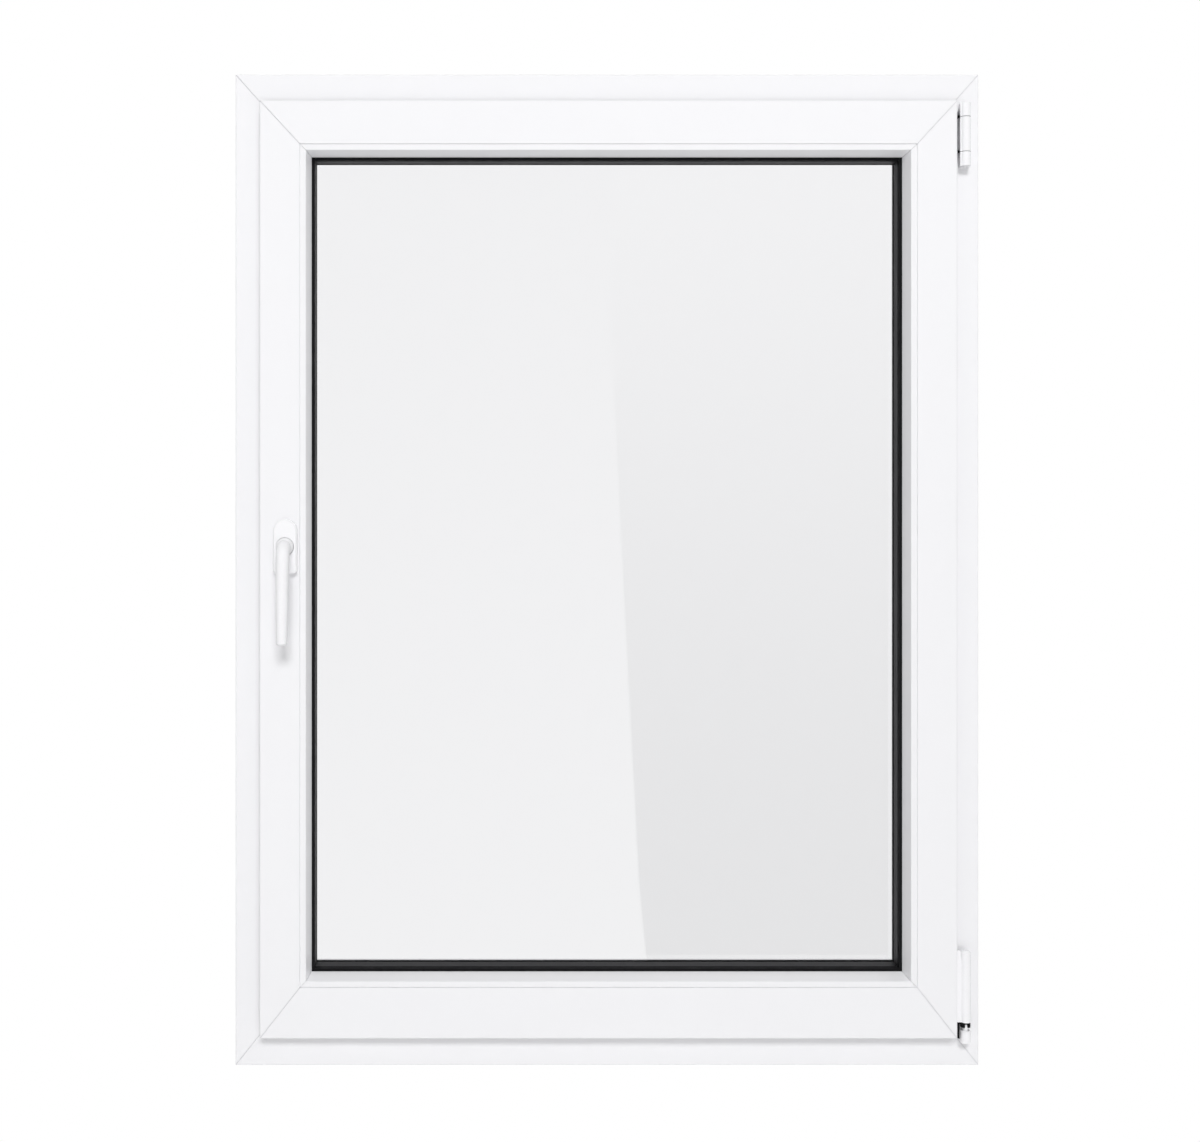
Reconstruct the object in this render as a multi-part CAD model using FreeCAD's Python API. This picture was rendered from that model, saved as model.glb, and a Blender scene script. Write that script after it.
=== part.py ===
"""Tilt and turn window, closed, hinges on the right as seen from the room.

Millimetres. +X is right as seen from the room, -Y points into the room and +Z is up.
The origin is the centre of the frame's bottom face. Inside this script a place on a bar is
given by u, the distance in from the frame's outer edge, and v, the depth behind the frame's
room face, so y = v - frame_depth / 2.
"""
import FreeCAD, Part
import math
import os

from FreeCAD import Vector

# Overall
window_width = 900.0
window_height = 1200.0
frame_depth = 70.0

# Frame section
face_side = 32.0
face_top = 36.0
face_bottom = 40.0
lip_overlap = 8.0
stop_height = 24.0
stop_thickness = 15.0
frame_edge_round = 1.5
plastic_round = 1.0
anchor_groove_width = 12.0
anchor_groove_depth = 3.0
anchor_groove_inset = 18.0

# Gaps between frame and sash
seal_gap = 5.0
hardware_gap = 12.0
seal_clearance = 0.3

# Sash section
sash_depth = 70.0
lip_thickness = 15.0
sash_width_side = 48.0
sash_width_top = 52.0
sash_width_bottom = 61.0
sash_edge_round = 1.5
flange_thickness = 18.0
flange_slope = 6.0
weld_groove_width = 0.9
weld_groove_depth = 1.1

# Glazing
pane_thickness = 4.0
pane_gap = 16.0
gasket_thickness = 3.0
gasket_reach = 3.0
gasket_bite = 4.0
glass_edge_gap = 5.0
spacer_width = 8.0
bead_width = 12.5
bead_flat = 7.5
bead_flat_round = 1.2
bead_gap = 0.9
bead_gap_depth = 1.6
bead_hairline = 0.3

# Seals
seal_width = 5.0
seal_inset = 1.5
seal_notch_margin = 1.0
stop_seal_inset = 2.0

# Hardware in the sash groove
faceplate_width = 16.0
faceplate_thickness = 3.0
faceplate_room_edge = 4.0
groove_width = 12.0
groove_depth = 9.0
cam_radius = 4.2
cam_sides = 8
cam_height = 7.0
keep_length = 60.0
keep_width = 18.0
keep_base = 2.0
keep_hook_length = 20.0
keep_hook_height = 8.0
keep_hook_thickness = 5.0
cam_to_hook = 9.0
keep_end_inset = 170.0
hinge_keep_inset = 80.0

# Hinges
hinge_edge_gap = 6.25
barrel_radius = 6.25
pin_radius = 3.5
pin_clearance = 0.05
knuckle_gap = 0.6
web_share = 0.75
hinge_cheek_gap = 0.8
hinge_cheek_rise = 3.0
knuckle_cheek = 0.6
hinge_axis_depth = 10.0
leaf_thickness = 3.0
leaf_clearance = 1.0

tilt_axis_above_lip = 2.0
cup_below_axis = 10.0
cup_above_axis = 5.0
cup_to_barrel = 10.0
cup_bore_radius = 5.0
ball_radius = 4.2
cup_bevel = 1.2
corner_barrel_length = 77.0
corner_barrel_end = 8.0
corner_cap_height = 9.0
corner_cap_bevel = 2.4

stay_top_below_lip = 1.0
stay_upper_knuckle = 16.4
stay_arm_knuckle = 41.5
stay_lower_knuckle = 16.9
stay_base_thickness = 2.0
stay_base_width = 6.0
stay_arm_length = 380.0
stay_arm_width = 16.0
stay_arm_thickness = 3.0
stay_arm_lift = 5.0
stay_guide_radius = 4.0
stay_guide_drop = 7.0
stay_guide_travel = 13.0
stay_slot_clearance = 1.3
stay_crank_width = 14.0
stay_leaf_rise = 2.0
stay_leaf_end = 8.0
stay_post_gap = 1.5
stay_post_lap = 0.5
stay_cover_thickness = 1.0
stay_pin_proud = 1.0

# Handle
handle_height = 630.0
handle_backset = 11.5
rosette_width = 28.5
rosette_height = 65.5
rosette_thickness = 9.0
rosette_round = 5.0
rosette_edge_bevel = 1.6
collar_clearance = 0.4
neck_start = 0.5
neck_radius = 10.5
neck_straight = 12.0
bend_start = 16.0
bend_radius = 14.0
grip_angle = 86.0
grip_top_radius = 8.0
grip_end_radius = 6.6
grip_end_flat = 4.6
lever_length = 114.0
lever_end_bevel = 2.0
spindle_width = 7.0
spindle_depth = 35.0
spindle_clearance = 1.5

# Anchor holes and drain slots
anchor_hole_radius = 3.75
anchor_hole_spacing = 700.0
drain_slot_length = 28.0
drain_slot_height = 5.0
drain_slot_reach = 22.0
drain_share_of_face = 0.6
drain_slot_inset = 180.0
drain_cap_length = 42.0
drain_cap_height = 12.0
drain_cap_thickness = 3.0
drain_cap_round = 2.5

# How far a cutting shape runs past what it cuts
overshoot = 1.0

# Places worked out from the sizes above
half_width = window_width / 2
faces = {"left": face_side, "right": face_side, "top": face_top, "bottom": face_bottom}
sash_widths = {
    "left": sash_width_side,
    "right": sash_width_side,
    "top": sash_width_top,
    "bottom": sash_width_bottom,
}
sides = ("left", "right", "top", "bottom")
corners = ((True, True), (True, False), (False, True), (False, False))
lip_back = -seal_gap
sash_room_face = lip_back - lip_thickness
sash_back = sash_room_face + sash_depth
stop_face = frame_depth - stop_thickness
flange_face = sash_back - flange_thickness
outer_pane_back = flange_face - gasket_thickness
outer_pane_front = outer_pane_back - pane_thickness
inner_pane_back = outer_pane_front - pane_gap
inner_pane_front = inner_pane_back - pane_thickness
bead_back = inner_pane_front - gasket_thickness
rebate_step = lip_overlap + hardware_gap

hinge_x = half_width - face_side + hinge_edge_gap + barrel_radius
hinge_v = -hinge_axis_depth
tilt_z = face_bottom + tilt_axis_above_lip
cup_top = tilt_z + cup_above_axis
corner_barrel_z0 = cup_top + cup_to_barrel
corner_barrel_z1 = corner_barrel_z0 + corner_barrel_length
stay_z3 = window_height - face_top - stay_top_below_lip
stay_z2 = stay_z3 - stay_upper_knuckle - knuckle_gap
stay_z1 = stay_z2 - stay_arm_knuckle
stay_z0 = stay_z1 - knuckle_gap - stay_lower_knuckle
arm_z0 = window_height - face_top - rebate_step + stay_arm_lift
arm_z1 = arm_z0 + stay_arm_thickness
arm_v0 = faceplate_room_edge
arm_middle_v = arm_v0 + faceplate_width / 2
guide_x = hinge_x - stay_arm_length
handle_x = -half_width + face_side + rebate_step + handle_backset
drain_z = face_bottom * drain_share_of_face


def at(x, v, z):
    """A point from x, the depth v behind the frame's room face, and z."""
    return Vector(x, v - frame_depth / 2, z)


def on_side(side, u, v, along=0.0):
    """A point at u and v on one side of the window; along is x or z on that side."""
    if side == "left":
        return at(-half_width + u, v, along)
    if side == "right":
        return at(half_width - u, v, along)
    if side == "top":
        return at(along, v, window_height - u)
    return at(along, v, u)


def block(x0, x1, v0, v1, z0, z1):
    """A box between two x, two v and two z."""
    corner = at(min(x0, x1), min(v0, v1), min(z0, z1))
    return Part.makeBox(abs(x1 - x0), abs(v1 - v0), abs(z1 - z0), corner)


def side_block(side, u0, u1, v0, v1, a0, a1):
    """A box on one side of the window, between two u, two v and two places along the side."""
    first = on_side(side, u0, v0, a0)
    second = on_side(side, u1, v1, a1)
    low = Vector(min(first.x, second.x), min(first.y, second.y), min(first.z, second.z))
    return Part.makeBox(
        abs(second.x - first.x), abs(second.y - first.y), abs(second.z - first.z), low
    )


def upright(radius, z0, z1, x=hinge_x, v=hinge_v):
    """A cylinder along Z, on the hinge axis unless told otherwise."""
    return Part.makeCylinder(radius, z1 - z0, at(x, v, z0), Vector(0, 0, 1))


def rounded_wire(corners):
    """A closed wire through (point, radius) corners, with an arc at each radius over zero."""
    edges = []
    starts = []
    ends = []
    count = len(corners)
    for i, (point, radius) in enumerate(corners):
        before = (corners[i - 1][0] - point).normalize()
        after = (corners[(i + 1) % count][0] - point).normalize()
        if radius <= 0:
            starts.append(point)
            ends.append(point)
            continue
        half_turn = before.getAngle(after) / 2
        reach = radius / math.tan(half_turn)
        starts.append(point + before * reach)
        ends.append(point + after * reach)
        middle_way = (before + after).normalize()
        middle = point + middle_way * (radius / math.sin(half_turn) - radius)
        edges.append((i, Part.Arc(starts[i], middle, ends[i]).toShape()))
    arcs = dict(edges)
    path = []
    for i in range(count):
        if i in arcs:
            path.append(arcs[i])
        following = starts[(i + 1) % count]
        if ends[i].distanceToPoint(following) > 1e-6:
            path.append(Part.LineSegment(ends[i], following).toShape())
    return Part.Wire(path)


def rectangle_corner(insets, left, bottom):
    """One corner of the rectangle that lies inside the window's outline by the four insets."""
    x = -half_width + insets["left"] if left else half_width - insets["right"]
    z = insets["bottom"] if bottom else window_height - insets["top"]
    return x, z


def mitre_prism(side, levels, v0, v1):
    """The wedge-ended prism that a bar of one side fills, between nested rectangles."""
    ends = {
        "left": ((True, True), (True, False)),
        "right": ((False, True), (False, False)),
        "bottom": ((True, True), (False, True)),
        "top": ((True, False), (False, False)),
    }[side]
    outline = [rectangle_corner(level, *ends[0]) for level in levels]
    outline += [rectangle_corner(level, *ends[1]) for level in reversed(levels)]
    points = [at(x, v0, z) for x, z in outline]
    face = Part.Face(Part.makePolygon(points + points[:1]))
    return face.extrude(Vector(0, v1 - v0, 0))


def mitre_slabs(levels, width, v0, v1):
    """Thin slabs along all four mitres, through the corners of nested rectangles."""
    slabs = []
    for corner in corners:
        places = [rectangle_corner(level, *corner) for level in levels]
        for (x0, z0), (x1, z1) in zip(places, places[1:]):
            across = Vector(z1 - z0, 0, x0 - x1).normalize() * (width / 2)
            start = at(x0, v0, z0)
            stop = at(x1, v0, z1)
            outline = [start + across, stop + across, stop - across, start - across]
            face = Part.Face(Part.makePolygon(outline + outline[:1]))
            slabs.append(face.extrude(Vector(0, v1 - v0, 0)))
    return slabs


def long_bar(side, section):
    """A section of (u, v, radius) points run along a whole side of the window."""
    margin = 10.0
    outline = [(on_side(side, u, v, -half_width - margin), r) for u, v, r in section]
    if side in ("left", "right"):
        outline = [(on_side(side, u, v, -margin), r) for u, v, r in section]
        way = Vector(0, 0, window_height + 2 * margin)
    else:
        way = Vector(window_width + 2 * margin, 0, 0)
    return Part.Face(rounded_wire(outline)).extrude(way)


def insets_of(values, extra=0.0):
    """Four insets from a table by side, each moved in by extra."""
    return {side: values[side] + extra for side in sides}


bead_joint = {side: faces[side] + sash_widths[side] for side in sides}


def frame_bar(side):
    """One mitred bar of the frame, with the rebate and the outdoor stop."""
    ground = faces[side] + lip_overlap
    stop_edge = ground + stop_height
    slope = stop_thickness / 2
    section = [
        (0, 0, frame_edge_round),
        (ground, 0, frame_edge_round),
        (ground, stop_face, 0),
        (stop_edge, stop_face, frame_edge_round),
        (stop_edge, stop_face + slope, plastic_round),
        (stop_edge - slope, frame_depth, plastic_round),
        (0, frame_depth, frame_edge_round),
    ]
    for middle in (frame_depth - anchor_groove_inset, anchor_groove_inset):
        near = middle - anchor_groove_width / 2
        far = middle + anchor_groove_width / 2
        section += [(0, far, 0), (anchor_groove_depth, far, 0)]
        section += [(anchor_groove_depth, near, 0), (0, near, 0)]
    outline = insets_of(dict.fromkeys(sides, 0.0))
    inner = insets_of(faces, lip_overlap + stop_height + overshoot)
    levels = [outline, insets_of(faces), inner]
    prism = mitre_prism(side, levels, -overshoot, frame_depth + overshoot)
    bar = long_bar(side, section).common(prism)
    room_levels = [outline, insets_of(faces), insets_of(faces, lip_overlap)]
    outdoor_levels = [outline, insets_of(faces), insets_of(faces, lip_overlap + stop_height)]
    grooves = mitre_slabs(room_levels, weld_groove_width, -overshoot, weld_groove_depth)
    outdoor_face = frame_depth - weld_groove_depth
    grooves += mitre_slabs(
        outdoor_levels, weld_groove_width, outdoor_face, frame_depth + overshoot
    )
    return bar.cut(grooves)


def sash_bar(side):
    """One mitred bar of the sash: room lip, hardware edge, glazing rebate and outdoor flange."""
    lip = faces[side]
    edge = lip + rebate_step
    joint = bead_joint[side]
    sightline = joint + bead_width
    section = [
        (lip, sash_room_face, sash_edge_round),
        (joint, sash_room_face, plastic_round),
        (joint, flange_face, 0),
        (sightline, flange_face, plastic_round),
        (sightline, sash_back - flange_slope, plastic_round),
        (sightline - flange_slope, sash_back, plastic_round),
        (edge, sash_back, plastic_round),
        (edge, lip_back, 0),
        (lip, lip_back, plastic_round),
    ]
    bar = long_bar(side, section)
    inner = insets_of(bead_joint, bead_width + overshoot)
    room_levels = [insets_of(faces), insets_of(bead_joint), inner]
    body_levels = [insets_of(faces, rebate_step), insets_of(bead_joint), inner]
    room_start = sash_room_face - overshoot
    body_end = sash_back + overshoot
    room_part = bar.common(mitre_prism(side, room_levels, room_start, lip_back))
    body_part = bar.common(mitre_prism(side, body_levels, lip_back, body_end))
    whole = room_part.fuse(body_part).removeSplitter()
    groove_floor = sash_room_face + weld_groove_depth
    grooves = mitre_slabs(room_levels[:2], weld_groove_width, room_start, groove_floor)
    groove_floor = sash_back - weld_groove_depth
    grooves += mitre_slabs(body_levels, weld_groove_width, groove_floor, body_end)
    return whole.cut([groove_cut(side)] + grooves)


def groove_cut(side):
    """The stepped hardware groove in one edge of the sash."""
    edge = faces[side] + rebate_step
    middle = faceplate_room_edge + faceplate_width / 2
    reach = window_height + window_width
    seat = side_block(
        side,
        edge - overshoot,
        edge + faceplate_thickness,
        faceplate_room_edge,
        faceplate_room_edge + faceplate_width,
        -reach,
        reach,
    )
    deep = side_block(
        side,
        edge,
        edge + groove_depth,
        middle - groove_width / 2,
        middle + groove_width / 2,
        -reach,
        reach,
    )
    return seat.fuse(deep)


def faceplate(side):
    """The steel strip seated in one side's groove, mitred to its neighbours."""
    edge = faces[side] + rebate_step
    reach = window_height + window_width
    v0 = faceplate_room_edge
    v1 = v0 + faceplate_width
    strip = side_block(side, edge, edge + faceplate_thickness, v0, v1, -reach, reach)
    levels = [insets_of(faces, rebate_step), insets_of(bead_joint)]
    strip = strip.common(mitre_prism(side, levels, v0, v1))
    if side == "top":
        strip = strip.cut(guide_slot())
    return strip


def guide_slot():
    """The slot in the top faceplate and groove that the stay arm's guide pin slides in."""
    radius = stay_guide_radius + stay_slot_clearance
    edge = window_height - face_top - rebate_step
    z0 = edge - groove_depth
    z1 = edge + overshoot
    ends = (guide_x - stay_slot_clearance, guide_x + stay_guide_travel + stay_slot_clearance)
    slot = block(ends[0], ends[1], arm_middle_v - radius, arm_middle_v + radius, z0, z1)
    for x in ends:
        slot = slot.fuse(upright(radius, z0, z1, x, arm_middle_v))
    return slot


def glazing_bead(side):
    """One mitred glazing bead: a flat room edge and a steep slope down to the glass."""
    joint = bead_joint[side]
    gap_floor = sash_room_face + bead_gap_depth
    section = [
        (joint + bead_gap, sash_room_face, bead_gap / 2),
        (joint + bead_flat, sash_room_face, bead_flat_round),
        (joint + bead_width, bead_back, plastic_round),
        (joint, bead_back, 0),
        (joint, gap_floor, 0),
        (joint + bead_gap, gap_floor, 0),
    ]
    levels = [insets_of(bead_joint), insets_of(bead_joint, bead_width + overshoot)]
    start = sash_room_face - overshoot
    stop = bead_back + overshoot
    prism = mitre_prism(side, levels, start, stop)
    hairlines = mitre_slabs(levels, bead_hairline, start, stop)
    return long_bar(side, section).common(prism).cut(hairlines)


def ring(values, start, stop, v0, v1):
    """A rectangular loop between two distances in from a table of insets."""
    outer = insets_of(values, start)
    inner = insets_of(values, stop)
    x0, z0 = rectangle_corner(outer, True, True)
    x1, z1 = rectangle_corner(outer, False, False)
    x2, z2 = rectangle_corner(inner, True, True)
    x3, z3 = rectangle_corner(inner, False, False)
    return block(x0, x1, v0, v1, z0, z1).cut(block(x2, x3, v0 - overshoot, v1 + overshoot, z2, z3))


def pane(v0):
    """One sheet of glass."""
    insets = insets_of(bead_joint, glass_edge_gap)
    x0, z0 = rectangle_corner(insets, True, True)
    x1, z1 = rectangle_corner(insets, False, False)
    return block(x0, x1, v0, v0 + pane_thickness, z0, z1)


def keep_places():
    """Each keep's side and its centre along that side; every hook lies on the plus side."""
    low = face_bottom + rebate_step + keep_end_inset
    high = window_height - face_top - rebate_step - keep_end_inset
    across = half_width - face_side - rebate_step - keep_end_inset
    return [
        ("left", low),
        ("left", high),
        ("right", low + hinge_keep_inset),
        ("right", high - hinge_keep_inset),
        ("top", -across),
        ("bottom", -across),
        ("bottom", across - hinge_keep_inset),
    ]


def lock_keep(side, along):
    """A keep screwed to the frame's rebate: a base with one raised hook at its end."""
    ground = faces[side] + lip_overlap
    v0 = faceplate_room_edge - (keep_width - faceplate_width) / 2
    a0 = along - keep_length / 2
    a1 = along + keep_length / 2
    base = side_block(side, ground, ground + keep_base, v0, v0 + keep_width, a0, a1)
    top = ground + keep_hook_height
    hook = side_block(side, ground, top, v0, v0 + keep_hook_thickness, a1 - keep_hook_length, a1)
    return base.fuse(hook).removeSplitter()


def lock_cam(side, along):
    """An eight-sided cam that stands on the faceplate, beside the keep's hook."""
    place = along + keep_length / 2 - keep_hook_length - cam_to_hook
    edge = faces[side] + rebate_step
    middle = faceplate_room_edge + faceplate_width / 2
    outline = []
    for i in range(cam_sides):
        turn = 2 * math.pi * (i + 0.5) / cam_sides
        v = middle + cam_radius * math.cos(turn)
        outline.append(on_side(side, edge, v, place + cam_radius * math.sin(turn)))
    way = on_side(side, edge - cam_height, middle, place) - on_side(side, edge, middle, place)
    return Part.Face(Part.makePolygon(outline + outline[:1])).extrude(way)


def stay_bearing():
    """The frame's top hinge bearing: two knuckles on a base plate, with the arm's between."""
    web = barrel_radius * web_share
    edge = hinge_x + web
    z1 = stay_z1 - knuckle_gap
    z2 = stay_z2 + knuckle_gap
    half_base = stay_base_width / 2
    solid = block(edge - half_base, edge + half_base, -stay_base_thickness, 0, stay_z0, stay_z3)
    for low, high in ((stay_z0, z1), (z2, stay_z3)):
        solid = solid.fuse(upright(barrel_radius, low, high))
        solid = solid.fuse(block(hinge_x - web, hinge_x + web, hinge_v, 0, low, high))
        solid = solid.fuse(knuckle_cheek_block(low, high))
    bore = upright(pin_radius + pin_clearance, stay_z0 - overshoot, stay_z3 + overshoot)
    return solid.cut(bore).removeSplitter()


def knuckle_cheek_block(z0, z1):
    """The narrow flat beside a knuckle, toward the sash."""
    left = hinge_x - barrel_radius - knuckle_cheek
    return block(left, hinge_x, hinge_v - hinge_cheek_rise, hinge_v, z0, z1)


def stay_knuckle(radius, v1):
    """The arm's knuckle with its web, down to the depth v1."""
    barrel = upright(radius, stay_z1, stay_z2)
    return barrel.fuse(block(hinge_x - radius, hinge_x, hinge_v, v1, stay_z1, stay_z2))


def stay_cover():
    """The white sleeve clipped over the arm's knuckle."""
    back = -leaf_clearance - leaf_thickness
    sleeve = stay_knuckle(barrel_radius, back).fuse(knuckle_cheek_block(stay_z1, stay_z2))
    core = stay_knuckle(barrel_radius - stay_cover_thickness, 0)
    left = hinge_x - barrel_radius
    right = hinge_x + barrel_radius
    return sleeve.cut([core, block(left, right, back, 0, stay_z1, stay_z2)]).removeSplitter()


def stay_arm():
    """The scissor stay: a knuckle, a leaf through the seal gap, a flat arm and a guide pin."""
    leaf_back = -leaf_clearance
    leaf_front = leaf_back - leaf_thickness
    sash_edge = half_width - face_side
    web_left = hinge_x - barrel_radius
    leaf_top = arm_z1 + stay_leaf_rise
    post_left = sash_edge + stay_post_gap
    post_right = web_left + stay_cover_thickness + stay_post_lap
    leaf_end = sash_edge - lip_overlap - stay_leaf_end
    crank_left = leaf_end - stay_crank_width
    arm_v1 = arm_v0 + stay_arm_width
    pieces = [
        stay_knuckle(barrel_radius - stay_cover_thickness, leaf_back),
        block(post_left, post_right, leaf_front, leaf_back, stay_z1, leaf_top),
        block(leaf_end, post_right, leaf_front, leaf_back, stay_z2 + knuckle_gap, leaf_top),
        block(crank_left, leaf_end + leaf_thickness, leaf_front, arm_v1, arm_z0, arm_z1),
        block(guide_x, leaf_end, arm_v0, arm_v1, arm_z0, arm_z1),
        upright(stay_arm_width / 2, arm_z0, arm_z1, guide_x, arm_middle_v),
        upright(stay_guide_radius, arm_z0 - stay_guide_drop, arm_z0, guide_x, arm_middle_v),
    ]
    bore = upright(pin_radius + pin_clearance, stay_z1 - overshoot, leaf_top + overshoot)
    return pieces[0].fuse(pieces[1:]).cut(bore).removeSplitter()


def bevel_top(solid, top, size):
    """A solid with its rim at the height top bevelled."""
    rims = [edge for edge in solid.Edges if abs(edge.CenterOfMass.z - top) < 0.01]
    return solid.makeChamfer(size, rims)


def corner_bearing():
    """The frame's bottom hinge bearing: a cup on a foot."""
    z0 = tilt_z - cup_below_axis
    web = barrel_radius * web_share
    cup = bevel_top(upright(barrel_radius, z0, cup_top), cup_top, cup_bevel)
    foot = block(hinge_x - web, hinge_x + web, hinge_v, 0, z0, cup_top - cup_bevel)
    floor = tilt_z - ball_radius - seal_clearance
    bore = upright(cup_bore_radius, floor, cup_top + overshoot)
    return cup.fuse(foot).cut(bore).removeSplitter()


def pivot_pin():
    """The ball-ended pin that turns and tilts in the cup and carries the sash."""
    ball = Part.makeSphere(ball_radius, at(hinge_x, hinge_v, tilt_z))
    shaft = upright(pin_radius, tilt_z, corner_barrel_z1 - corner_barrel_end)
    return ball.fuse(shaft).removeSplitter()


def corner_hinge():
    """The sash's bottom hinge: a barrel with a leaf behind the lip and a flange on the edge."""
    hardware_edge = half_width - face_side - rebate_step
    leaf_back = lip_back + leaf_thickness
    z0 = corner_barrel_z0 + corner_barrel_end
    z1 = corner_barrel_z1 - corner_barrel_end
    flange_end = faceplate_room_edge + faceplate_width
    flange_right = hardware_edge + leaf_thickness
    barrel = upright(barrel_radius, corner_barrel_z0, corner_barrel_z1)
    cheek_left = half_width - face_side + hinge_cheek_gap
    cheek_front = hinge_v - hinge_cheek_rise
    cap_left = hinge_x - barrel_radius
    cap_top = corner_barrel_z1 + corner_cap_height
    pieces = [
        block(cheek_left, hinge_x, cheek_front, hinge_v, corner_barrel_z0, corner_barrel_z1),
        block(cheek_left, cap_left, cheek_front, hinge_v, corner_barrel_z0, cap_top),
        block(hinge_x - barrel_radius, hinge_x, hinge_v, leaf_back, z0, z1),
        block(hardware_edge, hinge_x, lip_back, leaf_back, z0, z1),
        block(hardware_edge, flange_right, lip_back, flange_end, z0, z1),
    ]
    bore = upright(pin_radius + pin_clearance, corner_barrel_z0 - overshoot, z1)
    return barrel.fuse(pieces).cut(bore).removeSplitter()


def hinge_cap():
    """The rounded cap on the bottom hinge's barrel."""
    top = corner_barrel_z1 + corner_cap_height
    return bevel_top(upright(barrel_radius, corner_barrel_z1, top), top, corner_cap_bevel)


def handle_rosette():
    """The oval base plate of the handle, rounded at the top and squarer at the bottom."""
    top_radius = rosette_width / 2
    z1 = handle_height + rosette_height / 2
    z0 = z1 - rosette_height
    x0 = handle_x - top_radius
    x1 = handle_x + top_radius
    back = sash_room_face
    outline = [
        (at(x0, back, z0), rosette_round),
        (at(x1, back, z0), rosette_round),
        (at(x1, back, z1), top_radius - 0.01),
        (at(x0, back, z1), top_radius - 0.01),
    ]
    plate = Part.Face(rounded_wire(outline)).extrude(Vector(0, -rosette_thickness, 0))
    front = sash_room_face - rosette_thickness - frame_depth / 2
    rims = [edge for edge in plate.Edges if abs(edge.CenterOfMass.y - front) < 0.01]
    plate = plate.makeChamfer(rosette_edge_bevel, rims)
    collar = Part.makeCylinder(
        neck_radius + collar_clearance,
        rosette_thickness + 2 * overshoot,
        at(handle_x, sash_room_face + overshoot, handle_height),
        Vector(0, -1, 0),
    )
    return plate.cut(collar)


def lever_point(reach, drop):
    """A point by its reach from the sash face and its drop below the neck's axis."""
    return at(handle_x, sash_room_face - reach, handle_height - drop)


def handle_lever():
    """The lever: a round neck out from the rosette, a bend and a tapered grip, flat behind."""
    turn = math.radians(grip_angle)
    out = Vector(0, -1, 0)
    along = Vector(0, -math.cos(turn), -math.sin(turn))
    behind = Vector(0, math.sin(turn), -math.cos(turn))
    neck_base = lever_point(neck_start, 0)
    neck = Part.makeCylinder(neck_radius, neck_straight - neck_start, neck_base, out)
    shoulder = Part.makeCone(
        neck_radius, grip_top_radius, bend_start - neck_straight, lever_point(neck_straight, 0), out
    )
    ring_edge = Part.Circle(lever_point(bend_start, 0), out, grip_top_radius).toShape()
    turning_point = lever_point(bend_start, bend_radius)
    bend = Part.Face(Part.Wire(ring_edge)).revolve(turning_point, Vector(1, 0, 0), grip_angle)
    bend_reach = bend_start + bend_radius * math.sin(turn)
    bend_drop = bend_radius * (1 - math.cos(turn))
    start = lever_point(bend_reach, bend_drop)
    run = (lever_length - lever_end_bevel - bend_drop) / math.sin(turn)
    grip = Part.makeCone(grip_top_radius, grip_end_radius, run, start, along)
    end_radius = grip_end_radius - lever_end_bevel
    end = Part.makeCone(grip_end_radius, end_radius, lever_end_bevel, start + along * run, along)
    lever = neck.fuse([shoulder, bend, grip, end])
    top = start + behind * grip_top_radius
    bottom = start + along * (run + lever_end_bevel) + behind * grip_end_flat
    beyond = bottom + (bottom - top).normalize() * overshoot
    outline = [top, beyond, beyond + behind * neck_radius, top + behind * neck_radius]
    shift = Vector(neck_radius, 0, 0)
    flat = Part.Face(Part.makePolygon([point - shift for point in outline + outline[:1]]))
    return lever.cut(flat.extrude(shift * 2)).removeSplitter()


def handle_spindle():
    """The square spindle from the neck into the sash's gearbox."""
    half = spindle_width / 2
    v0 = sash_room_face - neck_start
    return block(
        handle_x - half,
        handle_x + half,
        v0,
        v0 + spindle_depth,
        handle_height - half,
        handle_height + half,
    )


def drain_cap(x):
    """The outdoor hood over one drain slot in the bottom bar."""
    cap = block(
        x - drain_cap_length / 2,
        x + drain_cap_length / 2,
        frame_depth,
        frame_depth + drain_cap_thickness,
        drain_z - drain_cap_height / 2,
        drain_z + drain_cap_height / 2,
    )
    outer = [edge for edge in cap.Edges if abs(edge.Length - drain_cap_thickness) < 0.01]
    return cap.makeFillet(drain_cap_round, outer)


def drain_slot(x):
    """The way out for water: down from the rebate, then out under one drain cap."""
    x0 = x - drain_slot_length / 2
    x1 = x + drain_slot_length / 2
    z0 = drain_z - drain_slot_height / 2
    ground = face_bottom + lip_overlap
    v0 = frame_depth - drain_slot_reach
    out = block(x0, x1, v0, frame_depth + overshoot, z0, z0 + drain_slot_height)
    return out.fuse(block(x0, x1, v0, v0 + drain_slot_height, z0, ground + overshoot))


def anchor_holes(side):
    """The two holes for frame screws through one jamb."""
    middle = window_height / 2
    holes = []
    for z in (middle - anchor_hole_spacing / 2, middle + anchor_hole_spacing / 2):
        start = on_side(side, -overshoot, frame_depth / 2, z)
        stop = on_side(side, faces[side] + lip_overlap + overshoot, frame_depth / 2, z)
        way = stop - start
        holes.append(Part.makeCylinder(anchor_hole_radius, way.Length, start, way.normalize()))
    return holes


def spindle_hole():
    """The hole in the left stile that the spindle turns in."""
    radius = spindle_width / 2 * math.sqrt(2) + spindle_clearance
    return Part.makeCylinder(
        radius,
        spindle_depth + overshoot,
        at(handle_x, sash_room_face - overshoot, handle_height),
        Vector(0, 1, 0),
    )


def sash_seal():
    """The soft strip behind the sash lip, notched where the hinge leaves pass."""
    strip = ring(faces, seal_inset, seal_inset + seal_width, lip_back, -seal_clearance)
    right = half_width - face_side
    left = right - rebate_step
    low0 = corner_barrel_z0 + corner_barrel_end - seal_notch_margin
    low1 = corner_barrel_z1 - corner_barrel_end + seal_notch_margin
    high1 = arm_z1 + stay_leaf_rise + seal_notch_margin
    front = lip_back - overshoot
    strip = strip.cut(block(left, right, front, overshoot, low0, low1))
    return strip.cut(block(left, right, front, overshoot, stay_z2, high1))


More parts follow.
